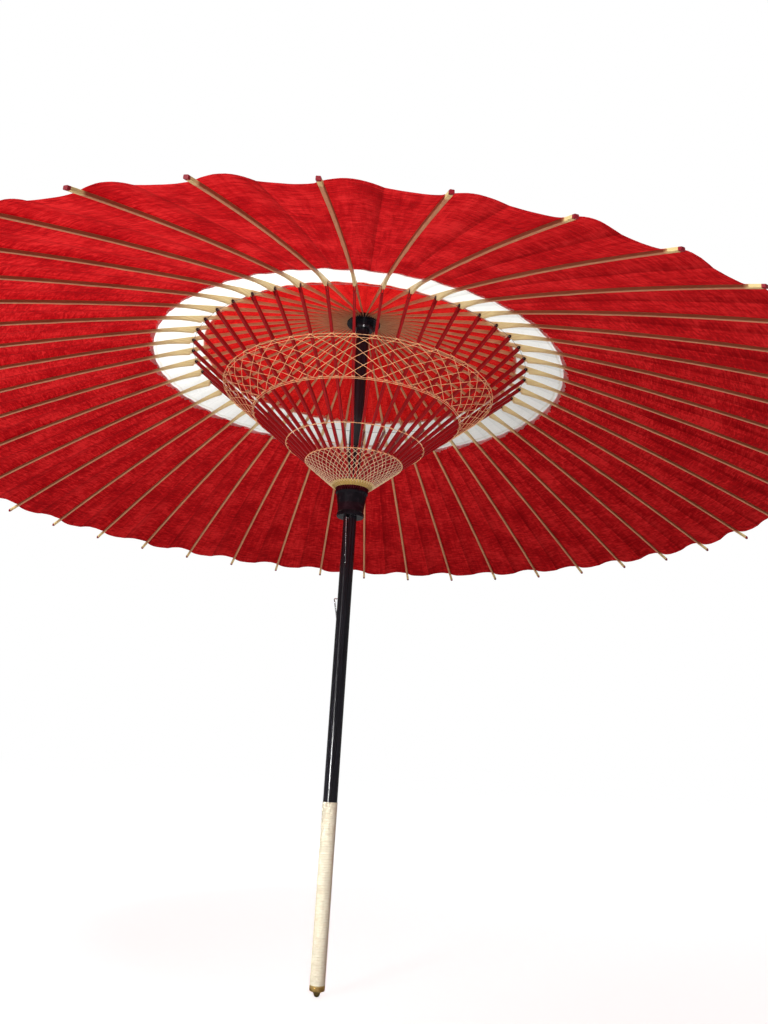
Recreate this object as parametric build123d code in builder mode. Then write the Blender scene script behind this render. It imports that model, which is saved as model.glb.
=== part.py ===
from build123d import *
from math import atan2, cos, hypot, sin
import os

os.makedirs("parts", exist_ok=True)

# A Japanese oil paper umbrella, open. Millimetres, +Z up along the shaft.
# The origin is the lowest point of the brass ferrule, on the shaft's axis.
# Ribs and struts lie in upright planes through the axis, one pair every PITCH degrees.

# ---- driving dimensions ----
RIBS = 44
PITCH = 360 / RIBS

SHAFT_R = 7.7
CORE_R = 7.15                      # the shaft where the grip is wound on it
SHAFT_TOP = 800
SHAFT_FOOT = 8
GLUE_LINE = 0.05
RUNNING_GAP = 0.08

GRIP_R = 8.1
GRIP_Z = (12, 192)

PIVOT_R = 16                       # thread circle of the hub and of the runner
HUB_PIVOT_Z = 755
RUNNER_PIVOT_Z = 541.5
KNEE = (197, 692)                  # where a rib bends: radius and height
JOINT = (196, 690.3)               # the pin of the strut's head, under the knee
TIP = (540, 554)
RIB_BOW = 4.4                      # how far the outer rib rises above its chord

RIB_END_W = 1.2                    # width in the hub's slot
RIB_JOINT_W = 3.3
RIB_OUTER_W = 3.4
RIB_END_R = 1.6
RIB_HALF_H = {"pivot": 1.7, "knee": 2.6, "middle": 2.2, "tip": 1.8}
TONGUE_W = 1.3                     # the rib is this thin between the strut's cheeks
TONGUE_R = 2.0

STRUT_W = 2.8
STRUT_HALF_H = 2.1
STRUT_FOOT_W = 1.2                 # width in the runner's slot
FORK_W = 1.6                       # the slot in the strut's head
FORK_LENGTH = 7
HEAD_CLEARANCE = 0.25

THREAD_R = 0.25
THREAD_HOLE_R = 0.4
CHANNEL_R = 0.3                    # the thread's way through the walls between the slots
SLOT_W = 1.3
SLOT_FLOOR_R = 13.2

RUNNER_Z = (508, 547)
RUNNER_RIM_R = 18.85
RUNNER_BAND_Z = 536                # foot of the slotted rim
HUB_RIM_R = 20
HUB_RIM_Z = (750.5, 759.5)

PAPER_T = 0.5
PAPER_GAP = 0.25                   # glue between the rib's back and the paper
PAPER_START_R = 21.5
RING_R = (181, 243)                # the white ring
PAPER_EDGE_R = 530

CAP_RIM_R = 27
CAP_T = 1.2

WIRE_R = 0.7
CLIP_POCKET_W = 2.0
UPPER_CLIP = {"angle": -109, "foot": 450, "head": 507.2, "reach": 12}
LOWER_CLIP = {"angle": -177, "foot": 378, "head": 413, "reach": 12}

NET_BANDS = ((0.215, 0.415), (0.645, 0.655), (0.782, 0.972))   # shares of the strut, from the rib down
NET_T = 0.4

# ---- worked out from them ----
strut_dx = JOINT[0] - PIVOT_R
strut_dz = JOINT[1] - RUNNER_PIVOT_Z
strut_length = hypot(strut_dx, strut_dz)
strut_side = Plane(origin=(PIVOT_R, 0, RUNNER_PIVOT_Z), x_dir=(strut_dx, 0, strut_dz), z_dir=(0, -1, 0))
strut_back = Plane(origin=(PIVOT_R, 0, RUNNER_PIVOT_Z), x_dir=(strut_dx, 0, strut_dz),
                   z_dir=(-strut_dz, 0, strut_dx))
outer_middle = ((KNEE[0] + TIP[0]) / 2, (KNEE[1] + TIP[1]) / 2 + RIB_BOW)


def rib_edge(side):
    """The points of a rib's back (side 1) or belly (side -1), from the hub out."""
    h = RIB_HALF_H
    return (
        (PIVOT_R, HUB_PIVOT_Z + side * h["pivot"]),
        (KNEE[0], KNEE[1] + side * h["knee"]),
        (outer_middle[0], outer_middle[1] + side * h["middle"]),
        (TIP[0], TIP[1] + side * h["tip"]),
    )


def save(solid, name):
    solid.label = name
    export_step(solid, f"parts/{name}.step")


def turned(solid, number):
    return solid.rotate(Axis.Z, number * PITCH)


def back_arc():
    """Centre and radius of the arc that the backs of the outer ribs follow."""
    _, (x1, y1), (x2, y2), (x3, y3) = rib_edge(1)
    d = 2 * (x1 * (y2 - y3) + x2 * (y3 - y1) + x3 * (y1 - y2))
    cx = ((x1**2 + y1**2) * (y2 - y3) + (x2**2 + y2**2) * (y3 - y1) + (x3**2 + y3**2) * (y1 - y2)) / d
    cy = ((x1**2 + y1**2) * (x3 - x2) + (x2**2 + y2**2) * (x1 - x3) + (x3**2 + y3**2) * (x2 - x1)) / d
    return cx, cy, hypot(x1 - cx, y1 - cy)


arc_x, arc_z, arc_radius = back_arc()


def back_height(radius):
    """Height of the ribs' backs at a distance from the axis."""
    (r0, z0), (r1, z1), _, _ = rib_edge(1)
    if radius <= r1:
        return z0 + (z1 - z0) * (radius - r0) / (r1 - r0)
    return arc_z + (arc_radius**2 - (radius - arc_x) ** 2) ** 0.5


# ---- shaft, grip and ferrule ----
def clip_pocket(clip):
    """The pocket that a spring clip is pressed into, as a solid to cut away."""
    height = clip["head"] - clip["foot"] + 4
    middle = clip["foot"] - 0.1 + height / 2
    with BuildPart() as pocket:
        with Locations((SHAFT_R / 2 + 2.5, 0, middle)):
            Box(SHAFT_R + 1, CLIP_POCKET_W, height)
    return pocket.part.rotate(Axis.Z, clip["angle"])


with BuildPart() as shaft:
    with BuildSketch(Plane.XZ):
        with BuildLine():
            Polyline((0, SHAFT_FOOT), (CORE_R, SHAFT_FOOT), (CORE_R, GRIP_Z[1]), (SHAFT_R, GRIP_Z[1]),
                     (SHAFT_R, SHAFT_TOP - 3), (SHAFT_R - 3, SHAFT_TOP), (0, SHAFT_TOP), (0, SHAFT_FOOT))
        make_face()
    revolve(axis=Axis.Z)
    add(clip_pocket(UPPER_CLIP), mode=Mode.SUBTRACT)
    add(clip_pocket(LOWER_CLIP), mode=Mode.SUBTRACT)
save(shaft.part, "shaft")

with BuildPart() as grip_wrap:
    with BuildSketch(Plane.XY.offset(GRIP_Z[0])):
        Circle(GRIP_R)
        Circle(CORE_R + GLUE_LINE, mode=Mode.SUBTRACT)
    extrude(amount=GRIP_Z[1] - GRIP_Z[0])
save(grip_wrap.part, "grip_wrap")

with BuildPart() as ferrule:
    with BuildSketch(Plane.XZ):
        with BuildLine():
            ThreePointArc((0, 0), (2.6, 1.2), (3.4, 3.6))
            Polyline((3.4, 3.6), (4.6, 5.2), (7.6, 6.2), (GRIP_R - 0.05, 7), (GRIP_R - 0.05, GRIP_Z[0]),
                     (CORE_R + GLUE_LINE, GRIP_Z[0]), (CORE_R + GLUE_LINE, SHAFT_FOOT), (0, SHAFT_FOOT), (0, 0))
        make_face()
    revolve(axis=Axis.Z)
save(ferrule.part, "ferrule")


# ---- hub and runner ----
def cut_slots(foot, head):
    """Cut the slots that the ends of the ribs or struts turn in."""
    depth = HUB_RIM_R + 1 - SLOT_FLOOR_R
    with Locations((0, 0, (foot + head) / 2)):
        with PolarLocations(SLOT_FLOOR_R + depth / 2, RIBS):
            Box(depth, SLOT_W, head - foot, mode=Mode.SUBTRACT)


with BuildPart() as hub:
    with BuildSketch(Plane.XZ):
        with BuildLine():
            Polyline((SHAFT_R + GLUE_LINE, 743), (11.4, 743), (12.4, 745), (12.4, HUB_RIM_Z[0]),
                     (HUB_RIM_R, HUB_RIM_Z[0]), (HUB_RIM_R, HUB_RIM_Z[1]), (15, 761), (13.5, 772),
                     (SHAFT_R + GLUE_LINE, 775), (SHAFT_R + GLUE_LINE, 743))
        make_face()
    revolve(axis=Axis.Z)
    cut_slots(HUB_RIM_Z[0] - 1, HUB_RIM_Z[1] + 0.6)
    with Locations((0, 0, HUB_PIVOT_Z)):
        Torus(PIVOT_R, CHANNEL_R, mode=Mode.SUBTRACT)
save(hub.part, "hub")

with BuildPart() as runner:
    with BuildSketch(Plane.XZ):
        with BuildLine():
            Polyline((SHAFT_R + RUNNING_GAP, RUNNER_Z[0]), (15.2, RUNNER_Z[0]), (15.8, RUNNER_Z[0] + 1),
                     (15.8, RUNNER_Z[0] + 4), (14.9, RUNNER_Z[0] + 5.5), (15.6, RUNNER_Z[0] + 14),
                     (17.6, RUNNER_BAND_Z - 2), (RUNNER_RIM_R, RUNNER_BAND_Z), (RUNNER_RIM_R, RUNNER_Z[1]),
                     (SHAFT_R + RUNNING_GAP, RUNNER_Z[1]), (SHAFT_R + RUNNING_GAP, RUNNER_Z[0]))
        make_face()
    revolve(axis=Axis.Z)
    cut_slots(RUNNER_BAND_Z, RUNNER_Z[1] + 1)
    with Locations((0, 0, RUNNER_PIVOT_Z)):
        Torus(PIVOT_R, CHANNEL_R, mode=Mode.SUBTRACT)
save(runner.part, "runner")

# ---- one rib, and its copies round the hub ----
with BuildPart() as rib:
    with BuildSketch(Plane.XZ):
        back = rib_edge(1)
        belly = rib_edge(-1)
        with BuildLine():
            Line(back[0], back[1])
            ThreePointArc(back[1], back[2], back[3])
            Line(back[3], belly[3])
            ThreePointArc(belly[3], belly[2], belly[1])
            Line(belly[1], belly[0])
            Line(belly[0], back[0])
        make_face()
        with Locations((PIVOT_R, HUB_PIVOT_Z)):
            Circle(RIB_END_R)
            Circle(THREAD_HOLE_R, mode=Mode.SUBTRACT)
        with Locations(JOINT):
            Circle(TONGUE_R)
            Circle(THREAD_HOLE_R, mode=Mode.SUBTRACT)
    extrude(amount=RIB_OUTER_W / 2, both=True)
    with BuildSketch(Plane.XY.offset(TIP[1] - 10)):
        Polygon((13, -RIB_END_W / 2), (24, -RIB_END_W / 2), (KNEE[0] - 6, -RIB_JOINT_W / 2),
                (KNEE[0] + 20, -RIB_OUTER_W / 2), (TIP[0] + 1, -RIB_OUTER_W / 2),
                (TIP[0] + 1, RIB_OUTER_W / 2), (KNEE[0] + 20, RIB_OUTER_W / 2),
                (KNEE[0] - 6, RIB_JOINT_W / 2), (24, RIB_END_W / 2), (13, RIB_END_W / 2), align=None)
    extrude(amount=HUB_PIVOT_Z - TIP[1] + 20, mode=Mode.INTERSECT)
    for side in (1, -1):
        with BuildSketch(strut_side.offset(side * TONGUE_W / 2)):
            with Locations((strut_length, 0)):
                Circle(STRUT_HALF_H + HEAD_CLEARANCE)
            with Locations((strut_length - FORK_LENGTH, 0)):
                Rectangle(2 * FORK_LENGTH, 2 * (STRUT_HALF_H + HEAD_CLEARANCE))
        extrude(amount=side * RIB_OUTER_W, mode=Mode.SUBTRACT)
for number in range(RIBS):
    save(turned(rib.part, number), f"rib_{number:02d}")

# ---- one strut, and the set of them on the runner ----
with BuildPart() as strut:
    with BuildSketch(strut_side):
        with Locations((strut_length / 2, 0)):
            SlotCenterToCenter(strut_length, 2 * STRUT_HALF_H)
        with Locations((0, 0), (strut_length, 0)):
            Circle(THREAD_HOLE_R, mode=Mode.SUBTRACT)
    extrude(amount=STRUT_W / 2, both=True)
    with BuildSketch(strut_back):
        with BuildLine():
            outline = [(-3, STRUT_FOOT_W / 2), (6, STRUT_FOOT_W / 2), (14, STRUT_W / 2),
                       (strut_length + 3, STRUT_W / 2), (strut_length + 3, FORK_W / 2),
                       (strut_length - FORK_LENGTH, FORK_W / 2)]
            Polyline(*outline, *[(x, -y) for x, y in reversed(outline)], close=True)
        make_face()
    extrude(amount=STRUT_HALF_H + 1, both=True, mode=Mode.INTERSECT)
struts = Compound(children=[turned(strut.part, number) for number in range(RIBS)])
save(struts, "struts")


# ---- threads ----
def thread_ring(radius, height, name):
    with BuildPart() as ring:
        with Locations((0, 0, height)):
            Torus(radius, THREAD_R)
    save(ring.part, name)


thread_ring(PIVOT_R, HUB_PIVOT_Z, "hub_thread")
thread_ring(JOINT[0], JOINT[1], "joint_thread")
thread_ring(PIVOT_R, RUNNER_PIVOT_Z, "runner_thread")

with BuildPart() as thread_net:
    for upper, lower in NET_BANDS:
        with BuildSketch(Plane.XZ):
            start = strut_length * (1 - upper)
            end = strut_length * (1 - lower)
            lean = atan2(strut_dz, strut_dx)
            corners = [(PIVOT_R + s * cos(lean) - n * sin(lean), RUNNER_PIVOT_Z + s * sin(lean) + n * cos(lean))
                       for s, n in ((end, -NET_T / 2), (start, -NET_T / 2), (start, NET_T / 2), (end, NET_T / 2))]
            Polygon(*corners, align=None)
        revolve(axis=Axis.Z)
save(thread_net.part, "thread_net")


# ---- paper canopy, in three glued bands ----
def paper_band(inner, outer, name):
    lift = PAPER_GAP
    with BuildPart() as band:
        with BuildSketch(Plane.XZ):
            low_in = (inner, back_height(inner) + lift)
            low_out = (outer, back_height(outer) + lift)
            with BuildLine():
                if outer <= KNEE[0]:
                    Line(low_in, low_out)
                    Line(low_out, (outer, low_out[1] + PAPER_T))
                    Line((outer, low_out[1] + PAPER_T), (inner, low_in[1] + PAPER_T))
                else:
                    start = max(inner, KNEE[0])
                    middle = (start + outer) / 2
                    points = [(r, back_height(r) + lift) for r in (start, middle, outer)]
                    if inner < start:
                        Line(low_in, points[0])
                        Line((start, points[0][1] + PAPER_T), (inner, low_in[1] + PAPER_T))
                    ThreePointArc(*points)
                    Line(points[2], (outer, points[2][1] + PAPER_T))
                    ThreePointArc(*[(r, z + PAPER_T) for r, z in reversed(points)])
                Line((inner, low_in[1] + PAPER_T), low_in)
            make_face()
        revolve(axis=Axis.Z)
    save(band.part, name)


paper_band(PAPER_START_R, RING_R[0], "canopy_inner")
paper_band(RING_R[0], RING_R[1], "canopy_ring")
paper_band(RING_R[1], PAPER_EDGE_R, "canopy_outer")

# ---- lacquered cap over the hub ----
cap_foot = back_height(CAP_RIM_R) + PAPER_GAP + PAPER_T + 0.6
with BuildPart() as head_cap:
    with BuildSketch(Plane.XZ):
        with BuildLine():
            Polyline((CAP_RIM_R - CAP_T, cap_foot), (CAP_RIM_R, cap_foot), (CAP_RIM_R, cap_foot + 1.5),
                     (22.5, 764), (17, 776), (11.5, 785), (10, 789), (SHAFT_R + GLUE_LINE, 790),
                     (SHAFT_R + GLUE_LINE, 785), (10.5, 782), (15.6, 775), (20.8, 763.5),
                     (CAP_RIM_R - CAP_T, cap_foot + 1.2), (CAP_RIM_R - CAP_T, cap_foot))
        make_face()
    revolve(axis=Axis.Z)
save(head_cap.part, "head_cap")


# ---- spring clips ----
def spring_clip(clip, name):
    """A bent wire: a long leg that leans out of its pocket, and a hook at its head."""
    foot = clip["foot"]
    head = clip["head"] - WIRE_R
    reach = clip["reach"] - WIRE_R
    with BuildPart() as wire:
        with BuildLine(Plane.XZ):
            path = FilletPolyline((4.6, foot), (reach, head), (5, head), (5, head - 6), radius=1.0)
        with BuildSketch(Plane(origin=path @ 0, z_dir=path % 0)):
            Circle(WIRE_R)
        sweep(path=path)
    save(wire.part.rotate(Axis.Z, clip["angle"]), name)


spring_clip(UPPER_CLIP, "clip_upper")
spring_clip(LOWER_CLIP, "clip_lower")
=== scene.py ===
import bpy
import math
import random
from mathutils import Matrix, Vector, noise


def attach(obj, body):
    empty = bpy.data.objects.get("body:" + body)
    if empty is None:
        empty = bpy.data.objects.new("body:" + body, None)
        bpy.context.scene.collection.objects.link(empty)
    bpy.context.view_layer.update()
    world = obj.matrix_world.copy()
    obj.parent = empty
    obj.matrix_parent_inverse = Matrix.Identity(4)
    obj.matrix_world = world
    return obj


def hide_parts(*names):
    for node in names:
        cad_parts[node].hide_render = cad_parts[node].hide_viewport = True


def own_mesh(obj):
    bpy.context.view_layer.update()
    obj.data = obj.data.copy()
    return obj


# A Japanese oil paper umbrella, open, seen from below. Metres, in the CAD model's frame.

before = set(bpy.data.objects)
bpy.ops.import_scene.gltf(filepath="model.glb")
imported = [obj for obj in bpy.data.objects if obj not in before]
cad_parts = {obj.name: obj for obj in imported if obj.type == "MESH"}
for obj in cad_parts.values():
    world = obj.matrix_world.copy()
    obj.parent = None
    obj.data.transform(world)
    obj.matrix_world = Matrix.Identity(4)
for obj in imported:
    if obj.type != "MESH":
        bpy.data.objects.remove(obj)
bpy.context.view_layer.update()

MM = 0.001
RIBS = 44
PITCH = 2 * math.pi / RIBS

# Places in a rib's own plane, as radius and height.
HUB_PIVOT = (16 * MM, 755 * MM)
RUNNER_PIVOT = (16 * MM, 541.5 * MM)
KNEE = (197 * MM, 692 * MM)                 # where a rib bends
JOINT = (196 * MM, 690.3 * MM)              # the pin of a strut's head
TIP = (540 * MM, 554 * MM)
RIB_BOW = 4.4 * MM                          # rise of a rib's middle, beyond the knee
BACK_AT_HUB = 1.7 * MM                      # the rib's back above its centre line
BACK_AT_KNEE = 2.6 * MM
BACK_AT_MIDDLE = 2.2 * MM
BACK_AT_TIP = 1.8 * MM

PAPER_GAP = 0.5 * MM                        # between a rib's back and the paper on it
PAPER_START = 21.5 * MM                     # the paper's inner and outer edges, from the axis
PAPER_EDGE = 530 * MM
RING = (181 * MM, 243 * MM)                 # the white ring's edges
RING_LAP = 4 * MM                           # how far the red paper laps the ring on each side
RING_DROP = 0.35 * MM                       # the ring lies this far under the red paper

STRUT_W = 2.8 * MM
STRUT_H = 4.2 * MM
FORK_W = 1.6 * MM                           # the slot in a strut's head

strut_run = JOINT[0] - RUNNER_PIVOT[0]
strut_rise = JOINT[1] - RUNNER_PIVOT[1]
strut_length = math.hypot(strut_run, strut_rise)
strut_lean = math.atan2(strut_rise, strut_run)

CAMERA_PLACE = (0.0578, -0.9851, 0.2276)
CAMERA_TURN = math.radians(3.358) - 0.0584  # about the upright, to the left
CAMERA_TILT = 1.8047                        # from looking straight down
CAMERA_ROLL = 0.0565


# ---------------------------------------------------------------- camera, light and floor
def make_camera():
    """The camera stands in front, under the rim, and looks up."""
    lens = bpy.data.cameras.new("camera")
    camera = bpy.data.objects.new("camera", lens)
    bpy.context.collection.objects.link(camera)
    lens.sensor_width = 36
    lens.lens = 31.31
    lens.shift_x = -0.0136
    lens.shift_y = 0.0459
    lens.clip_start = 0.01
    turn = Matrix.Rotation(CAMERA_TURN, 4, "Z")
    tilt = Matrix.Rotation(CAMERA_TILT, 4, "X")
    roll = Matrix.Rotation(CAMERA_ROLL, 4, "Z")
    camera.matrix_world = Matrix.Translation(CAMERA_PLACE) @ turn @ tilt @ roll
    bpy.context.scene.camera = camera


def area_light(name, place, aim, size, power, spread=180, height=None):
    """A round lamp, or an upright strip if it has a height. spread is its beam in degrees."""
    light = bpy.data.lights.new(name, "AREA")
    light.shape = "RECTANGLE" if height else "DISK"
    light.size = size
    light.size_y = height or size
    light.energy = power
    light.spread = math.radians(spread)
    lamp = bpy.data.objects.new(name, light)
    lamp.location = place
    lamp.rotation_euler = (Vector(aim) - Vector(place)).to_track_quat("-Z", "Y").to_euler()
    lamp.visible_camera = False
    bpy.context.collection.objects.link(lamp)


def white_or_dim(tree, seen, lighting, socket):
    """Set a strength that is higher where the stage is seen than where it only lights the object."""
    path = tree.nodes.new("ShaderNodeLightPath")
    strength = tree.nodes.new("ShaderNodeMapRange")
    strength.inputs["To Min"].default_value = lighting
    strength.inputs["To Max"].default_value = seen
    tree.links.new(path.outputs["Is Camera Ray"], strength.inputs["Value"])
    tree.links.new(strength.outputs[0], socket)


def make_studio():
    """A white backdrop and four lamps: high and soft, a strip in front, and two narrow ones."""
    scene = bpy.context.scene
    scene.view_settings.view_transform = "Standard"
    world = bpy.data.worlds.new("studio")
    scene.world = world
    world.use_nodes = True
    backdrop = world.node_tree.nodes["Background"]
    backdrop.inputs["Color"].default_value = (1, 1, 1, 1)
    white_or_dim(world.node_tree, 1.0, 0.27, backdrop.inputs["Strength"])
    area_light("sky", (-0.5, -0.8, 1.7), (0, 0, 0.6), 0.9, 26)
    area_light("front", (-1.3, -1.5, 0.45), (0, 0, 0.45), 0.15, 6, height=1.5)
    area_light("centre", (0.12, -1.2, 0.1), (0, 0, 0.64), 0.3, 0.16, 22)
    area_light("low", (-0.9, -1.6, 0.2), (0, 0, 0.12), 0.3, 0.42, 20)


def make_floor():
    bpy.ops.mesh.primitive_plane_add(size=60, location=(0, 0, 0))
    floor = bpy.context.object
    floor.name = "floor"
    white, shader, tree = new_material("floor_white")
    shader.inputs["Base Color"].default_value = (0.92, 0.92, 0.92, 1)
    shader.inputs["Roughness"].default_value = 0.9
    shader.inputs["Emission Color"].default_value = (1, 1, 1, 1)
    white_or_dim(tree, 0.75, 0.03, shader.inputs["Emission Strength"])
    floor.data.materials.append(white)


# ---------------------------------------------------------------- shader helpers
def new_material(name):
    material = bpy.data.materials.new(name)
    material.use_nodes = True
    tree = material.node_tree
    shader = tree.nodes["Principled BSDF"]
    return material, shader, tree


def node(tree, kind, settings=None, **values):
    """A node with its settings, and its inputs by name: a link if given a socket, else a value."""
    made = tree.nodes.new("ShaderNode" + kind)
    for key, value in (settings or {}).items():
        setattr(made, key, value)
    for key, value in values.items():
        socket = made.inputs[int(key[1:])] if key[0] == "_" else made.inputs[key.replace("_", " ")]
        if isinstance(value, bpy.types.NodeSocket):
            tree.links.new(value, socket)
        else:
            socket.default_value = value
    return made


def maths(tree, operation, a, b=0.0, c=0.0):
    return node(tree, "Math", {"operation": operation}, _0=a, _1=b, _2=c).outputs[0]


def times(tree, a, b):
    return maths(tree, "MULTIPLY", a, b)


def map_range(tree, value, start, end, low=0.0, high=1.0):
    """low at the start of a range, high at its end, and no further."""
    return node(tree, "MapRange", Value=value, _1=start, _2=end, _3=low, _4=high).outputs[0]


def vector(tree, x, y, z=0.0):
    return node(tree, "CombineXYZ", X=x, Y=y, Z=z).outputs[0]


def noise_of(tree, place, scale, detail, roughness=0.55, distortion=0.0):
    return node(tree, "TexNoise", Vector=place, Scale=scale, Detail=detail, Roughness=roughness,
                Distortion=distortion).outputs["Fac"]


def ramp(tree, value, stops):
    """A colour ramp through (position, colour) stops."""
    made = node(tree, "ValToRGB", Fac=value)
    elements = made.color_ramp.elements
    while len(elements) < len(stops):
        elements.new(0.5)
    for element, (position, colour) in zip(elements, stops):
        element.position = position
        element.color = (*colour, 1)
    return made.outputs["Color"]


def grey_ramp(tree, value, stops):
    return ramp(tree, value, [(position, (shade,) * 3) for position, shade in stops])


def mix(tree, share, a, b, blend="MIX"):
    made = node(tree, "Mix", {"data_type": "RGBA", "blend_type": blend})
    for socket, value in ((made.inputs[0], share), (made.inputs[6], a), (made.inputs[7], b)):
        if isinstance(value, bpy.types.NodeSocket):
            tree.links.new(value, socket)
        else:
            socket.default_value = value if isinstance(value, float) else (*value, 1)
    return made.outputs[2]


def bump(tree, shader, height, distance, strength):
    made = node(tree, "Bump", Height=height, Distance=distance, Strength=strength)
    tree.links.new(made.outputs["Normal"], shader.inputs["Normal"])
    return made.outputs["Normal"]


def local_place(tree):
    """The three object coordinates, in metres."""
    place = node(tree, "TexCoord").outputs["Object"]
    return node(tree, "SeparateXYZ", Vector=place).outputs[:3]


# ---------------------------------------------------------------- materials
PAPER_MIDDLE = 0.35                         # the radius at which paper marks have their true width
# painted shade across a panel, by its share from the rib: darker towards the mid-panel fold, lighter just
# past it
CREASE_SHADE = [(0.0, 0.98), (0.25, 0.95), (0.42, 0.84), (0.49, 0.66), (0.505, 1.0), (1.0, 0.93)]


def paper_material(name, base, dark, light, glow, crease, inner_edge=None):
    """Oiled long-fibre paper. The Polar map holds the radius in metres and the angle in radians. glow is
    the share of light let through, and crease how strongly painted shade darkens each panel beside its
    mid-panel fold.
    inner_edge, for the ring only, tints its torn inner edge, and brings the line where the red paper laps
    the ring."""
    material, shader, tree = new_material(name)
    polar = node(tree, "UVMap", {"uv_map": "Polar"}).outputs[0]
    radius, angle = node(tree, "SeparateXYZ", Vector=polar).outputs[:2]
    arc = times(tree, angle, PAPER_MIDDLE)

    def fibre_noise(along, across, seed, detail, roughness, distortion):
        """Noise stretched along the radius or across it: more cycles in a metre is finer."""
        place = vector(tree, times(tree, radius, along), times(tree, arc, across), seed)
        return noise_of(tree, place, 1.0, detail, roughness, distortion)

    streaks = fibre_noise(420.0, 110.0, 0.0, 5.0, 0.62, 0.9)
    fibres = fibre_noise(900.0, 260.0, 3.0, 4.0, 0.7, 1.2)
    clouds = fibre_noise(22.0, 26.0, 7.0, 3.0, 0.5, 0.3)
    runs = fibre_noise(24.0, 300.0, 5.0, 4.0, 0.6, 0.9)
    tone = maths(tree, "ADD", times(tree, streaks, 0.5), times(tree, clouds, 0.28))
    tone = maths(tree, "MULTIPLY_ADD", runs, 0.22, tone)
    colour = ramp(tree, tone, [(0.42, dark), (0.5, base), (0.58, light)])
    panel = maths(tree, "FRACT", maths(tree, "DIVIDE", angle, PITCH))
    # painted shade across each panel, darkest beside the mid-panel fold
    colour = mix(tree, crease, colour, grey_ramp(tree, panel, CREASE_SHADE), "MULTIPLY")
    fibre_share = times(tree, grey_ramp(tree, fibres, [(0.56, 0.0), (0.72, 1.0)]), 0.35)
    colour = mix(tree, fibre_share, colour, light)
    if inner_edge:
        near = map_range(tree, radius, RING[0] + 0.007, RING[0] - 0.001)
        colour = mix(tree, times(tree, near, maths(tree, "ADD", clouds, 0.4)), colour, inner_edge)
        lap = maths(tree, "MULTIPLY_ADD", clouds, 0.006, radius)
        line = grey_ramp(tree, map_range(tree, lap, 0.2365, 0.2405), [(0.0, 0.0), (0.5, 0.4), (1.0, 0.0)])
        colour = mix(tree, line, colour, (0.62, 0.50, 0.36))
    tree.links.new(colour, shader.inputs["Base Color"])
    tree.links.new(map_range(tree, streaks, 0.3, 0.7, 0.6, 0.8), shader.inputs["Roughness"])
    shader.inputs["Specular IOR Level"].default_value = 0.04
    height = maths(tree, "ADD", streaks, times(tree, fibres, 0.5))
    normal = bump(tree, shader, height, 0.0010, 0.8)
    through = node(tree, "BsdfTranslucent", Color=colour, Normal=normal)
    both = node(tree, "MixShader", Fac=glow)
    tree.links.new(shader.outputs[0], both.inputs[1])
    tree.links.new(through.outputs[0], both.inputs[2])
    tree.links.new(both.outputs[0], tree.nodes["Material Output"].inputs["Surface"])
    return material


def bamboo_material():
    """Split bamboo along the piece's own x: darker towards the hub, cream on the ring as painted light
    bounced from the white ring, tan beyond it, bare and then painted at the tip. The flanks carry painted
    shade, darker than the belly."""
    material, shader, tree = new_material("split_bamboo")
    x, y, z = local_place(tree)
    own = node(tree, "ObjectInfo").outputs["Random"]
    shift = times(tree, own, 37.0)
    place = vector(tree, times(tree, x, 14.0), times(tree, y, 2600.0),
                   maths(tree, "ADD", times(tree, z, 900.0), shift))
    grain = noise_of(tree, place, 1.0, 4.0, 0.6, 0.2)
    along = vector(tree, maths(tree, "ADD", times(tree, x, 26.0), shift), 0.0)
    patches = noise_of(tree, along, 1.0, 2.0)

    def wood(dark, middle, light):
        return ramp(tree, grain, [(0.3, dark), (0.52, middle), (0.75, light)])

    cream = wood((0.66, 0.48, 0.23), (0.86, 0.70, 0.33), (0.94, 0.82, 0.48))
    tan = wood((0.50, 0.21, 0.09), (0.76, 0.35, 0.17), (0.88, 0.50, 0.28))
    # painted light: the rib turns cream where it lies over the white ring, standing in for the light the
    # ring bounces onto it
    ring_bounce_light = grey_ramp(tree, map_range(tree, x, 0.15, 0.30),
                        [(0.0, 0.2), (0.30, 0.5), (0.34, 1.0), (0.56, 1.0), (0.66, 0.0), (1.0, 0.0)])
    tan_with_ring_light = mix(tree, ring_bounce_light, tan, cream)
    brown = wood((0.20, 0.08, 0.035), (0.36, 0.16, 0.075), (0.48, 0.25, 0.12))
    inner = map_range(tree, x, 0.03, 0.15, 0.75, 0.1)
    outer = map_range(tree, x, 0.1975, 0.1995, 1.0, 0.0)
    colour = mix(tree, times(tree, inner, outer), tan_with_ring_light, brown)
    colour = mix(tree, times(tree, patches, 0.25), colour, (0.42, 0.2, 0.12))
    # painted shade: faces turned sideways, the flanks, are darkened, more so beyond the ring
    facing = node(tree, "SeparateXYZ", Vector=node(tree, "TexCoord").outputs["Normal"]).outputs[1]
    flank_shade = grey_ramp(tree, maths(tree, "ABSOLUTE", facing), [(0.5, 0.0), (0.9, 1.0)])
    flank_shade_share = map_range(tree, x, 0.215, 0.25, 0.15, 0.85)
    colour = mix(tree, times(tree, flank_shade, flank_shade_share), colour, (0.21, 0.065, 0.028))
    bare = grey_ramp(tree, map_range(tree, x, 0.5235, 0.527), [(0.0, 0.0), (1.0, 0.8)])
    colour = mix(tree, bare, colour, (0.92, 0.75, 0.34))
    painted = grey_ramp(tree, map_range(tree, x, 0.5372, 0.5376), [(0.0, 0.0), (1.0, 1.0)])
    colour = mix(tree, painted, colour, (0.30, 0.006, 0.018))
    tree.links.new(colour, shader.inputs["Base Color"])
    tree.links.new(map_range(tree, grain, 0.3, 0.7, 0.34, 0.52), shader.inputs["Roughness"])
    shader.inputs["Specular IOR Level"].default_value = 0.3
    bump(tree, shader, grain, 0.00012, 0.6)
    return material


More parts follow.
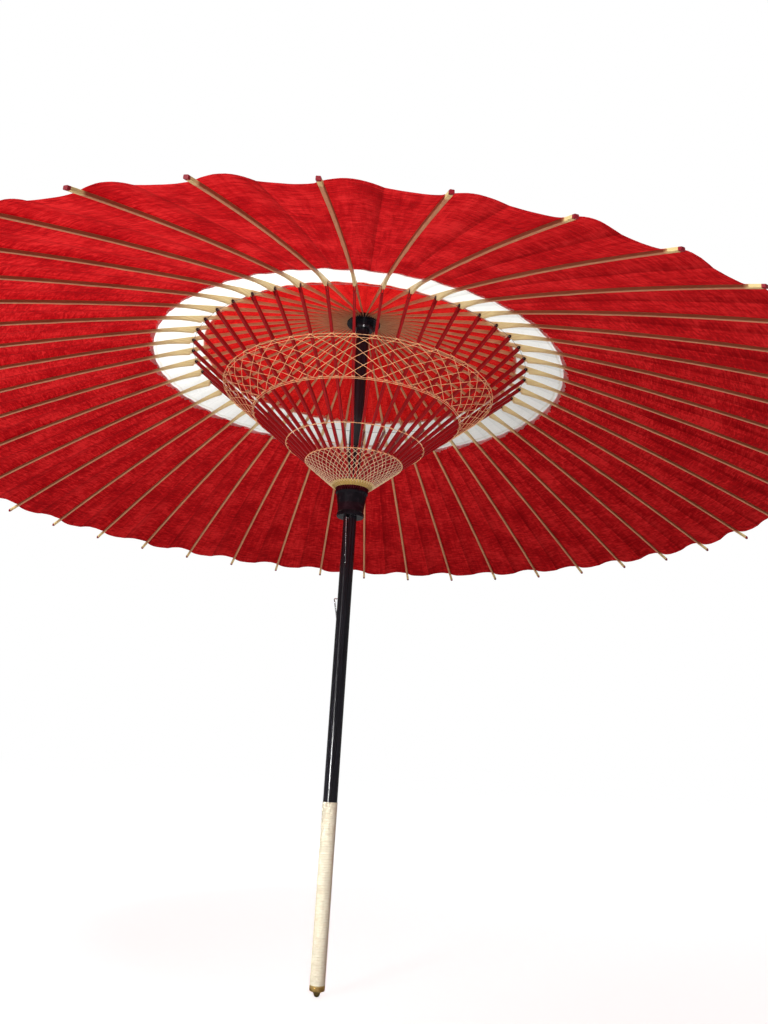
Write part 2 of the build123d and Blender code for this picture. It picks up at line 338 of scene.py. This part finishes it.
def red_lacquer_material():
    """Red lacquer on bamboo, with dark ends. The Along map holds a strut's own length and width."""
    material, shader, tree = new_material("red_lacquer")
    along = node(tree, "UVMap", {"uv_map": "Along"}).outputs[0]
    x = node(tree, "SeparateXYZ", Vector=along).outputs[0]
    across = node(tree, "SeparateXYZ", Vector=along).outputs[1]
    place = vector(tree, times(tree, x, 30.0), times(tree, across, 3000.0))
    grain = noise_of(tree, place, 1.0, 4.0, 0.6)
    colour = ramp(tree, grain,
                  [(0.3, (0.14, 0.003, 0.005)), (0.52, (0.29, 0.005, 0.008)), (0.72, (0.46, 0.016, 0.016))])
    colour = mix(tree, map_range(tree, x, 0.2316, 0.2324), colour, (0.03, 0.004, 0.006))
    colour = mix(tree, map_range(tree, x, 0.012, 0.003), colour, (0.10, 0.006, 0.012))
    tree.links.new(colour, shader.inputs["Base Color"])
    shader.inputs["Specular IOR Level"].default_value = 0.14
    tree.links.new(map_range(tree, grain, 0.3, 0.7, 0.3, 0.46), shader.inputs["Roughness"])
    bump(tree, shader, grain, 0.0001, 0.5)
    return material


def black_lacquer_material():
    """Black lacquer, brushed on along z and a little worn."""
    material, shader, tree = new_material("black_lacquer")
    x, y, z = local_place(tree)
    place = vector(tree, times(tree, x, 500.0), times(tree, y, 500.0), times(tree, z, 9.0))
    brush = noise_of(tree, place, 1.0, 4.0, 0.55)
    wear = noise_of(tree, node(tree, "TexCoord").outputs["Object"], 60.0, 4.0, 0.6)
    colour = ramp(tree, brush, [(0.3, (0.004, 0.004, 0.006)), (0.7, (0.016, 0.016, 0.022))])
    tree.links.new(colour, shader.inputs["Base Color"])
    tree.links.new(map_range(tree, wear, 0.35, 0.7, 0.14, 0.26), shader.inputs["Roughness"])
    shader.inputs["Specular IOR Level"].default_value = 0.2
    shader.inputs["Coat Weight"].default_value = 0.12
    shader.inputs["Coat Roughness"].default_value = 0.08
    bump(tree, shader, brush, 0.0002, 0.25)
    return material


def runner_material():
    """Black lacquer, with dark plum lacquer on the rim and faintly on the body."""
    material, shader, tree = new_material("runner_lacquer")
    z = local_place(tree)[2]
    wear = noise_of(tree, node(tree, "TexCoord").outputs["Object"], 140.0, 4.0, 0.6)
    plum = ramp(tree, wear, [(0.3, (0.022, 0.002, 0.005)), (0.7, (0.055, 0.005, 0.011))])
    black = ramp(tree, wear, [(0.3, (0.004, 0.004, 0.006)), (0.7, (0.014, 0.012, 0.016))])
    rim = map_range(tree, z, 0.5365, 0.5375)
    above_body = map_range(tree, z, 0.5225, 0.5235)
    above_foot = map_range(tree, z, 0.5130, 0.5140)
    body = times(tree, above_foot, maths(tree, "SUBTRACT", 1.0, above_body))
    colour = mix(tree, times(tree, body, 0.25), black, plum)
    colour = mix(tree, rim, colour, plum)
    tree.links.new(colour, shader.inputs["Base Color"])
    tree.links.new(map_range(tree, wear, 0.35, 0.7, 0.16, 0.32), shader.inputs["Roughness"])
    shader.inputs["Specular IOR Level"].default_value = 0.06
    bump(tree, shader, wear, 0.0002, 0.3)
    return material


def rattan_material():
    """Pale rattan strip. Its fine fibres and stains run round the z axis."""
    material, shader, tree = new_material("rattan")
    x, y, z = local_place(tree)
    turn = maths(tree, "ARCTAN2", y, x)
    place = vector(tree, times(tree, turn, 1.5), 0.0, times(tree, z, 5200.0))
    fibre = noise_of(tree, place, 1.0, 4.0, 0.6, 0.1)
    place = vector(tree, times(tree, turn, 0.8), 4.0, times(tree, z, 260.0))
    stain = noise_of(tree, place, 1.0, 3.0, 0.5)
    colour = ramp(tree, fibre,
                  [(0.28, (0.60, 0.54, 0.36)), (0.5, (0.80, 0.78, 0.60)), (0.72, (0.90, 0.90, 0.78))])
    stained = times(tree, grey_ramp(tree, stain, [(0.5, 0.0), (0.75, 1.0)]), 0.3)
    colour = mix(tree, stained, colour, (0.62, 0.49, 0.28))
    tree.links.new(colour, shader.inputs["Base Color"])
    tree.links.new(map_range(tree, fibre, 0.3, 0.7, 0.38, 0.58), shader.inputs["Roughness"])
    shader.inputs["Specular IOR Level"].default_value = 0.2
    bump(tree, shader, fibre, 0.00015, 0.6)
    return material


def metal_material(name, base, bright, low, high, scale, patina=None):
    """Turned or drawn metal: fine lines and faint tarnish. low and high are its least and greatest
    roughness. patina is the colour of its lowest few millimetres."""
    material, shader, tree = new_material(name)
    x, y, z = local_place(tree)
    place = vector(tree, times(tree, x, 90.0), times(tree, y, 90.0), times(tree, z, scale))
    lines = noise_of(tree, place, 1.0, 3.0, 0.6)
    tarnish = noise_of(tree, node(tree, "TexCoord").outputs["Object"], 170.0, 3.0, 0.5)
    colour = ramp(tree, tarnish, [(0.35, base), (0.65, bright)])
    if patina:
        worn = maths(tree, "MULTIPLY_ADD", tarnish, 0.004, z)
        colour = mix(tree, map_range(tree, worn, 0.011, 0.004), colour, patina)
    tree.links.new(colour, shader.inputs["Base Color"])
    shader.inputs["Metallic"].default_value = 1.0
    tree.links.new(map_range(tree, lines, 0.3, 0.7, low, high), shader.inputs["Roughness"])
    bump(tree, shader, lines, 0.00008, 0.4)
    return material


def thread_material(name, dark, light):
    """Twisted cotton, with painted shade in the grooves of its twist. The Along map holds the length in
    metres and the share of the way round.
    """
    material, shader, tree = new_material(name)
    along = node(tree, "UVMap", {"uv_map": "Along"}).outputs[0]
    length, way_round = node(tree, "SeparateXYZ", Vector=along).outputs[:2]
    phase = maths(tree, "MULTIPLY_ADD", length, 5200.0, times(tree, way_round, 6.283))
    twist_relief_and_shade = maths(tree, "SINE", phase)
    tone = noise_of(tree, vector(tree, times(tree, length, 160.0), way_round), 1.0, 3.0)
    # painted shade: the colour follows the twist, darker in its grooves and lighter on its crowns
    colour = ramp(tree, maths(tree, "MULTIPLY_ADD", twist_relief_and_shade, 0.22, tone), [(0.25, dark), (0.75, light)])
    tree.links.new(colour, shader.inputs["Base Color"])
    tree.links.new(map_range(tree, tone, 0.3, 0.7, 0.6, 0.8), shader.inputs["Roughness"])
    shader.inputs["Sheen Weight"].default_value = 0.3
    bump(tree, shader, twist_relief_and_shade, 0.00008, 0.5)
    return material


# ---------------------------------------------------------------- mesh helpers
def make_piece(name, vertices, faces, materials, uv_name=None, uvs=None, indices=None, smooth=True):
    """A mesh object from lists. uvs holds one (u, v) for each vertex, indices one material number for
    each face."""
    mesh = bpy.data.meshes.new(name)
    mesh.from_pydata(vertices, [], faces)
    for material in materials:
        mesh.materials.append(material)
    if uv_name:
        layer = mesh.uv_layers.new(name=uv_name)
        for loop in mesh.loops:
            layer.data[loop.index].uv = uvs[loop.vertex_index]
    if indices:
        mesh.polygons.foreach_set("material_index", indices)
    mesh.polygons.foreach_set("use_smooth", [smooth] * len(mesh.polygons))
    mesh.update()
    piece = bpy.data.objects.new(name, mesh)
    bpy.context.collection.objects.link(piece)
    return piece


def rotate(point, angle):
    """A point turned about the z axis."""
    c, s = math.cos(angle), math.sin(angle)
    return (point[0] * c - point[1] * s, point[0] * s + point[1] * c, point[2])


class Tubes:
    """Round threads gathered into one mesh. Each follows a list of points, with closed ends."""

    def __init__(self, sides):
        self.sides = sides
        self.vertices = []
        self.faces = []
        self.uvs = []
        self.indices = []

    def add(self, points, radius, material=0):
        points = [Vector(p) for p in points]
        sides = self.sides
        start = len(self.vertices)
        length = 0.0
        for i, point in enumerate(points):
            ahead = points[min(i + 1, len(points) - 1)]
            behind = points[max(i - 1, 0)]
            if i:
                length += (point - behind).length
            along = (ahead - behind).normalized()
            side = along.cross(Vector((0, 0, 1)))
            side = side.normalized() if side.length > 1e-3 else along.orthogonal().normalized()
            up = side.cross(along)
            for j in range(sides):
                turn = 2 * math.pi * j / sides
                self.vertices.append(point + radius * (math.cos(turn) * side + math.sin(turn) * up))
                self.uvs.append((length, j / sides))
        for i in range(len(points) - 1):
            for j in range(sides):
                a = start + i * sides + j
                b = start + i * sides + (j + 1) % sides
                self.faces.append((a, a + sides, b + sides, b))
                self.indices.append(material)
        last = start + (len(points) - 1) * sides
        self.faces.append(tuple(start + j for j in range(sides)))
        self.faces.append(tuple(last + j for j in reversed(range(sides))))
        self.indices += [material, material]

    def piece(self, name, materials):
        return make_piece(name, self.vertices, self.faces, materials, "Along", self.uvs, self.indices)


def bar(stations, bevel):
    """A bar along x with a chamfered box section: stations are (x, half width, foot, head)."""
    vertices, faces = [], []
    for x, half, foot, head in stations:
        cut = min(bevel, half * 0.6, (head - foot) * 0.3)
        section = [(-half, foot + cut), (-half + cut, foot), (half - cut, foot), (half, foot + cut),
                   (half, head - cut), (half - cut, head), (-half + cut, head), (-half, head - cut)]
        vertices += [(x, y, z) for y, z in section]
    for i in range(len(stations) - 1):
        for j in range(8):
            a = i * 8 + j
            b = i * 8 + (j + 1) % 8
            faces.append((a, a + 8, b + 8, b))
    last = (len(stations) - 1) * 8
    faces.append(tuple(range(8)))
    faces.append(tuple(last + j for j in reversed(range(8))))
    return vertices, faces


# ---------------------------------------------------------------- shape of the ribs' backs
def circle_through(p, q, r):
    """The centre and radius of the circle through three points."""
    (x1, y1), (x2, y2), (x3, y3) = p, q, r
    d = 2 * (x1 * (y2 - y3) + x2 * (y3 - y1) + x3 * (y1 - y2))
    cx = ((x1**2 + y1**2) * (y2 - y3) + (x2**2 + y2**2) * (y3 - y1) + (x3**2 + y3**2) * (y1 - y2)) / d
    cy = ((x1**2 + y1**2) * (x3 - x2) + (x2**2 + y2**2) * (x1 - x3) + (x3**2 + y3**2) * (x2 - x1)) / d
    return cx, cy, math.hypot(x1 - cx, y1 - cy)


back_at_hub = (HUB_PIVOT[0], HUB_PIVOT[1] + BACK_AT_HUB)
back_at_knee = (KNEE[0], KNEE[1] + BACK_AT_KNEE)
back_at_middle = ((KNEE[0] + TIP[0]) / 2, (KNEE[1] + TIP[1]) / 2 + RIB_BOW + BACK_AT_MIDDLE)
back_at_tip = (TIP[0], TIP[1] + BACK_AT_TIP)
arc_x, arc_z, arc_r = circle_through(back_at_knee, back_at_middle, back_at_tip)


def back_height(radius):
    """Height of a rib's back at a distance from the axis."""
    if radius <= KNEE[0]:
        share = (radius - back_at_hub[0]) / (back_at_knee[0] - back_at_hub[0])
        return back_at_hub[1] + (back_at_knee[1] - back_at_hub[1]) * share
    return arc_z + math.sqrt(arc_r**2 - (radius - arc_x) ** 2)


def between(value, points):
    """Straight-line interpolation through (x, y) points."""
    for (x1, y1), (x2, y2) in zip(points, points[1:]):
        if value <= x2:
            share = max(0.0, (value - x1) / (x2 - x1))
            return y1 + (y2 - y1) * share
    return points[-1][1]


# ---------------------------------------------------------------- paper
COLUMNS = 10                                # faces across a half gore
WAVE = 3.0 * MM                             # how far the paper swells or sags between ribs at the edge
CREASE = -1.05 * math.sin(0.8 * math.pi)    # rise of the mid-panel crease, in waves


def panel_number(number, side):
    """The panel that a half gore is in. The panel after rib n has its number."""
    return number if side > 0 else (number - 1) % RIBS


def paper_wave(radius, share, number, side):
    """Rise of the paper from rib (share 0) to the crease in mid-panel (share 1). Each panel swells
    on the side that follows its rib and sags on the other, as creased paper does."""
    strength = 0.8 + 0.45 * random.Random(panel_number(number, side) * 7 + 1).random()
    reach = (radius / PAPER_EDGE) ** 1.6
    if side > 0:
        shape = 1.05 * math.sin(math.pi * share) * (1 - 0.2 * share) + CREASE * share**3
    else:
        shape = -math.sin(math.pi * 0.8 * share**0.62) * 1.05
    return WAVE * strength * reach * shape


def torn_edges(number, side):
    """A function for how far the paper's edges stray from their circles. The ring is torn by hand and
    cut a little askew in each panel. At the rim the paper is hollow between ribs and cut back at each."""
    panel = random.Random(panel_number(number, side) * 13 + 5)
    inner_skew = panel.uniform(-6, 6)
    outer_skew = panel.uniform(2, 8)

    def stray(end, share, angle):
        place = Vector((math.cos(angle), math.sin(angle), 0.0))
        torn = noise.noise(place * 60 + Vector((0, 0, end * 50))) + 0.6 * noise.noise(place * 170)
        across = share / 2 if side > 0 else 1 - share / 2
        ring_inner = (3.6 * torn + inner_skew * (across - 0.5)) * MM
        ring_outer = (2.3 * torn + outer_skew * (across - 0.5)) * MM
        hollow = 1.2 * math.sin(math.pi * share / 2)
        rim = (0.5 * torn - hollow - 3.0 * (1 - share) ** 4) * MM
        return ring_inner, ring_outer, rim

    return stray


def gore(number, side, materials):
    """Half of the paper between two ribs, from one rib to the crease: inner, ring and outer bands."""
    name = f"canopy_{number:02d}_{'left' if side > 0 else 'right'}"
    angle0 = number * PITCH
    stray = torn_edges(number, side)
    vertices, faces, uvs, indices = [], [], [], []
    inner, ring, outer = 2, 1, 0
    bands = (
        (PAPER_START, RING[0] + RING_LAP, 0.0, inner, 30),
        (RING[0], RING[1], -RING_DROP, ring, 11),
        (RING[1] - RING_LAP, PAPER_EDGE, 0.0, outer, 56),
    )
    for start, end, drop, material, rows in bands:
        first = len(vertices)
        for i in range(rows + 1):
            for j in range(COLUMNS + 1):
                share = j / COLUMNS
                angle = angle0 + side * share * PITCH / 2
                radius = start + (end - start) * i / rows
                ring_inner, ring_outer, rim = stray(end, share, angle)
                if material == ring and i == 0:
                    radius += ring_inner
                if material == ring and i == rows:
                    radius += ring_outer
                if material == outer and i == rows:
                    radius += rim
                height = back_height(radius) + PAPER_GAP + drop + paper_wave(radius, share, number, side)
                vertices.append((radius * math.cos(angle), radius * math.sin(angle), height))
                uvs.append((radius, angle))
        for i in range(rows):
            for j in range(COLUMNS):
                a = first + i * (COLUMNS + 1) + j
                b = a + COLUMNS + 1
                faces.append((a, b, b + 1, a + 1) if side > 0 else (a, a + 1, b + 1, b))
                indices.append(material)
    piece = make_piece(name, vertices, faces, materials, "Polar", uvs, indices)
    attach(piece, f"rib_{number:02d}")
    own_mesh(piece)
    return piece


# ---------------------------------------------------------------- ribs and struts
# Tables along a rib: the distance from the axis in metres, then a measure in millimetres. Under the
# knee the rib is cut back for the strut's head, and a nose beyond the head hangs lower.
RIB_HALF_WIDTH = [(0.013, 0.6), (0.024, 0.6), (0.10, 0.95), (0.191, 1.5), (0.541, 1.55)]
RIB_DEPTH = [
    (0.013, 2.9), (0.05, 2.9), (0.150, 3.2), (0.1905, 4.4), (0.1915, 2.2), (0.1984, 2.2), (0.1994, 8.0),
    (0.2015, 7.7), (0.204, 7.1), (0.207, 6.5), (0.211, 5.8), (0.216, 5.0), (0.222, 4.3), (0.23, 3.8),
    (0.24, 3.5), (0.541, 3.0),
]
TONGUE_FOOT = [(0.1908, 5.0), (0.1932, 6.1), (0.1955, 6.8), (0.1975, 6.9), (0.2005, 6.3)]
BAMBOO_NODE = 0.352                         # where the bamboo's own joint thickens each rib


def in_metres(table):
    return [(x, value * MM) for x, value in table]


def rib_mesh(material):
    """The rib that all 44 share, along its own x, with the tongue that the strut's fork holds."""
    half_width = in_metres(RIB_HALF_WIDTH)
    depth = in_metres(RIB_DEPTH)
    radii = [0.0135, 0.016, 0.020, 0.024] + [0.024 + 0.0165 * k for k in range(1, 11)]
    radii += [0.1905, 0.1915, 0.1950, 0.1984, 0.1994]
    radii += [0.2015, 0.204, 0.207, 0.211, 0.216, 0.222, 0.230, 0.240]
    radii += [0.240 + 0.012375 * k for k in range(1, 25)]
    radii += [0.5390, 0.5400, 0.5405]
    stations = []
    for x in radii:
        head = back_height(x)
        swelling = 0.25 * MM * math.exp(-((x - BAMBOO_NODE) / 0.004) ** 2)
        half = between(x, half_width) + swelling
        stations.append((x, half, head - between(x, depth) - swelling, head))
    vertices, faces = bar(stations, 0.35 * MM)
    tongue = []
    for x, foot in TONGUE_FOOT:
        tongue.append((x, 0.65 * MM, back_height(x) - foot * MM, back_height(x) - 1.5 * MM))
    more, more_faces = bar(tongue, 0.15 * MM)
    first = len(vertices)
    vertices += more
    faces += [tuple(first + i for i in face) for face in more_faces]
    mesh = bpy.data.meshes.new("rib")
    mesh.from_pydata(vertices, [], faces)
    mesh.materials.append(material)
    mesh.update()
    return mesh


def make_ribs(material):
    mesh = rib_mesh(material)
    for number in range(RIBS):
        name = f"rib_{number:02d}"
        piece = bpy.data.objects.new(f"bamboo_{name}", mesh.copy())
        bpy.context.collection.objects.link(piece)
        piece.rotation_euler = (0, 0, number * PITCH)
        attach(piece, name)
        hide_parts(name)


def strut_point(share, across, out):
    """A point at a share of a strut's length from the runner, in the strut's own plane; out is below it."""
    s = share * strut_length
    x = RUNNER_PIVOT[0] + s * math.cos(strut_lean) + out * math.sin(strut_lean)
    z = RUNNER_PIVOT[1] + s * math.sin(strut_lean) - out * math.cos(strut_lean)
    return (x, across, z)


def strut_mesh():
    """A square strut along x from its foot, in metres: thin in the runner, forked at the head."""
    length = strut_length / MM
    half = STRUT_H / 2 / MM
    side = STRUT_W / 2 / MM
    foot_half = 0.6
    fork_foot = length - 7.4
    stations = [(-1.6, foot_half, -1.0, 1.0), (-0.9, foot_half, -1.8, 1.8), (0, foot_half, -half, half),
                (6, foot_half, -half, half), (14, side, -half, half)]
    stations += [(14 + (length - 21) / 9 * k, side, -half, half) for k in range(1, 10)]
    box, faces = bar([(x * MM, w * MM, a * MM, b * MM) for x, w, a, b in stations], 0.35 * MM)
    cheek_half = (STRUT_W / MM - FORK_W / MM) / 4
    cheek = [(fork_foot, half), (length + 0.4, half), (length + 1.5, 1.5), (length + 2.1, 0.7)]
    for sign in (-1, 1):
        more, more_faces = bar([(x * MM, cheek_half * MM, -h * MM, h * MM) for x, h in cheek], 0.12 * MM)
        first = len(box)
        box += [(x, y + sign * (side - cheek_half) * MM, z) for x, y, z in more]
        faces += [tuple(first + i for i in face) for face in more_faces]
    return box, faces


def make_struts(lacquer):
    box, faces = strut_mesh()
    for number in range(RIBS):
        vertices, uvs = [], []
        for x, y, z in box:
            point = strut_point(x / strut_length, y, -z)
            vertices.append(rotate(point, number * PITCH))
            uvs.append((x, y + 0.7 * z + number * 0.01))
        piece = make_piece(f"strut_{number:02d}", vertices, faces, [lacquer], "Along", uvs, smooth=False)
        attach(piece, "runner")
        if number == 0:
            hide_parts("struts")
        fold_inward(piece)


def fold_inward(piece):
    """Give a piece its own copy of its mesh."""
    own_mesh(piece)


# ---------------------------------------------------------------- threads
# Bands of thread, as (head, foot), and single rings, all as shares of a strut from the runner up.
UPPER_BAND = (0.785, 0.585)
UPPER_RINGS = (UPPER_BAND[0], UPPER_BAND[0] - 0.014, UPPER_BAND[1] - 0.003, UPPER_BAND[1] - 0.010)
UPPER_STEPS = 3                             # struts that a slanting thread passes on its way down
SINGLE_RING = 0.352
LOWER_NET = (0.218, 0.034)
LOWER_STEPS = 5
FOOT_RINGS = [0.014 + 0.0038 * k for k in range(9)]

THREAD = 0.31 * MM                          # the thread's radius
THREAD_FACE = STRUT_H / 2 + 0.3 * MM        # from a strut's centre line out to the threads
CROSSING = 0.25 * MM                        # threads of the two slants pass this far off the face
STRAY = 0.17                                # how far a crossing wanders, as a share of a step

ORANGE, STRAW, CREAM = 0, 1, 2


def lace_point(number, offset, share, out):
    """A point on the outer side of the struts, at this strut or half way to the next."""
    here = Vector(rotate(strut_point(share, 0, out), number * PITCH))
    there = Vector(rotate(strut_point(share, 0, out), (number + (1 if offset > 0 else -1)) * PITCH))
    return here.lerp(there, abs(offset))


def thread_share(band, steps, side, k, start):
    """Where the slanting thread that starts at a strut is after k steps. It wanders a little."""
    head, foot = band
    fall = (foot - head) / (steps + 0.5)
    if k <= 0 or k > steps:
        return head + fall * max(k, 0)
    stray = random.Random(start % RIBS * 91 + k * 7 + side + steps * 1000).uniform(-1, 1)
    return head + fall * (k + STRAY * stray)


def add_slanting(tubes, number, band, steps, side, material, radius):
    """The stretches of one family of slanting threads that pass a strut. Each thread starts at a strut
    and ends half way between two."""
    out = THREAD_FACE + CROSSING * side
    for k in range(steps + 1):
        start = number - side * k
        share = thread_share(band, steps, side, k, start)
        onward = band[1] if k == steps else (share + thread_share(band, steps, side, k + 1, start)) / 2
        points = [lace_point(number, 0, share, out), lace_point(number, 0.5 * side, onward, out)]
        if k > 0:
            before = (share + thread_share(band, steps, side, k - 1, start)) / 2
            points.insert(0, lace_point(number, -0.5 * side, before, out))
        tubes.add(points, radius, material)


def add_ring(tubes, number, share, material, out, radius):
    """The stretch of a level ring of thread that passes a strut."""
    tubes.add([lace_point(number, offset, share, out) for offset in (-0.5, 0, 0.5)], radius, material)


def add_knot(tubes, number, share):
    """Two turns of thread round a strut."""
    w, h = STRUT_W / 2 + 0.2 * MM, STRUT_H / 2 + 0.2 * MM
    loop = [(-w, -h), (w, -h), (w, h), (-w, h), (-w, -h)]
    for step in (-0.0013, 0.0013):
        points = [rotate(strut_point(share + step, y, z), number * PITCH) for y, z in loop]
        tubes.add(points, 0.2 * MM, ORANGE)


def make_nets(orange, straw, cream):
    """The laced threads, cut into one piece for each strut, from mid-gap to mid-gap."""
    for number in range(RIBS):
        tubes = Tubes(5)
        for side in (-1, 1):
            add_slanting(tubes, number, UPPER_BAND, UPPER_STEPS, side, ORANGE, THREAD)
            add_slanting(tubes, number, LOWER_NET, LOWER_STEPS, side, CREAM, THREAD * 0.8)
        for share in UPPER_RINGS:
            add_ring(tubes, number, share, ORANGE, THREAD_FACE, THREAD)
        add_ring(tubes, number, SINGLE_RING, ORANGE, THREAD_FACE, THREAD * 1.2)
        add_ring(tubes, number, LOWER_NET[0], ORANGE, THREAD_FACE, THREAD * 1.3)
        for share in FOOT_RINGS:
            add_ring(tubes, number, share, STRAW, THREAD_FACE - 0.1 * MM, 0.3 * MM)
        for share in (*UPPER_BAND, SINGLE_RING, LOWER_NET[0]):
            add_knot(tubes, number, share)
        piece = tubes.piece(f"net_{number:02d}", [orange, straw, cream])
        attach(piece, "runner")
        if number == 0:
            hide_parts("thread_net")
        fold_inward(piece)


def make_joint_thread(material):
    """The thin thread that ties the strut joints together, one length for each rib."""
    for number in range(RIBS):
        tubes = Tubes(5)
        angle = number * PITCH
        here = Vector(rotate((JOINT[0], 0, JOINT[1]), angle))
        ends = []
        for side in (-1, 1):
            there = Vector(rotate((JOINT[0], 0, JOINT[1]), angle + side * PITCH))
            ends.append((here + there) / 2 - Vector((0, 0, 0.3 * MM)))
        tubes.add([ends[0], here, ends[1]], 0.25 * MM)
        piece = tubes.piece(f"joint_thread_{number:02d}", [material])
        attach(piece, f"rib_{number:02d}")
        if number == 0:
            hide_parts("joint_thread")
        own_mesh(piece)


# ---------------------------------------------------------------- grip
GRIP = (12 * MM, 192 * MM)                  # foot and head
GRIP_TURNS = 70
GROOVE_RADIUS = 7.72 * MM
STRIP_CROWN = 0.42 * MM                     # height of the strip's middle over the groove


def make_grip(material):
    """Rattan wound round the shaft as one strip, with a groove between its turns."""
    foot, head = GRIP
    pitch = (head - foot) / GRIP_TURNS
    sides, rows_each_turn = 56, 7
    rows = GRIP_TURNS * rows_each_turn
    vertices, faces = [], []
    for i in range(rows + 1):
        z = foot + (head - foot) * i / rows
        for j in range(sides):
            wound = (z - foot) / pitch - j / sides
            turn = math.floor(wound)
            across = wound - turn
            crown = 1 - abs(2 * across - 1) ** 3.5
            wobble = 0.02 * MM * noise.noise(Vector((turn * 0.7, j * 0.1, 0)))
            radius = GROOVE_RADIUS + STRIP_CROWN * crown + wobble
            angle = 2 * math.pi * j / sides
            vertices.append((radius * math.cos(angle), radius * math.sin(angle), z))
    for i in range(rows):
        for j in range(sides):
            a = i * sides + j
            b = i * sides + (j + 1) % sides
            faces.append((a, b, b + sides, a + sides))
    faces.append(tuple(reversed(range(sides))))
    faces.append(tuple(rows * sides + j for j in range(sides)))
    piece = make_piece("rattan_grip", vertices, faces, [material])
    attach(piece, "shaft")
    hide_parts("grip_wrap")


# ---------------------------------------------------------------- the scene
def dress(node_name, material):
    """Give a CAD node a better material."""
    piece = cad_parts[node_name]
    piece.data.materials.clear()
    piece.data.materials.append(material)


make_camera()
make_studio()
make_floor()

red_paper = paper_material(
    "red_paper", base=(0.57, 0.008, 0.011), dark=(0.37, 0.003, 0.006), light=(0.79, 0.024, 0.026),
    glow=0.37, crease=1.0)
inner_paper = paper_material(
    "inner_paper", base=(0.72, 0.012, 0.011), dark=(0.50, 0.005, 0.007), light=(0.86, 0.030, 0.025),
    glow=0.55, crease=0.6)
white_paper = paper_material(
    "white_paper", base=(0.97, 0.965, 0.92), dark=(0.92, 0.92, 0.88), light=(0.98, 0.975, 0.94),
    glow=0.8, crease=0.3, inner_edge=(0.84, 0.62, 0.30))
bamboo = bamboo_material()
red_lacquer = red_lacquer_material()
black_lacquer = black_lacquer_material()
runner_lacquer = runner_material()
rattan = rattan_material()
brass = metal_material(
    "brass", base=(0.36, 0.27, 0.07), bright=(0.62, 0.50, 0.18), low=0.2, high=0.4, scale=2600.0,
    patina=(0.10, 0.075, 0.03))
steel = metal_material(
    "spring_steel", base=(0.24, 0.24, 0.25), bright=(0.45, 0.45, 0.46), low=0.16, high=0.3, scale=400.0)
orange_thread = thread_material("orange_thread", (0.96, 0.45, 0.17), (1.0, 0.72, 0.36))
straw_thread = thread_material("straw_thread", (0.62, 0.42, 0.06), (0.93, 0.72, 0.22))
cream_thread = thread_material("cream_thread", (0.92, 0.70, 0.38), (1.0, 0.90, 0.62))
dark_thread = thread_material("dark_thread", (0.05, 0.06, 0.07), (0.16, 0.18, 0.18))

for number in range(RIBS):
    for side in (1, -1):
        piece = gore(number, side, [red_paper, white_paper, inner_paper])
        if number == 0 and side == 1:
            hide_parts("canopy_inner", "canopy_ring", "canopy_outer")
make_ribs(bamboo)
make_struts(red_lacquer)
make_nets(orange_thread, straw_thread, cream_thread)
make_joint_thread(dark_thread)
make_grip(rattan)

for node_name, material in (
    ("shaft", black_lacquer),
    ("hub", black_lacquer),
    ("head_cap", black_lacquer),
    ("runner", runner_lacquer),
    ("ferrule", brass),
    ("clip_upper", steel),
    ("clip_lower", steel),
    ("hub_thread", rattan),
    ("runner_thread", rattan),
):
    dress(node_name, material)
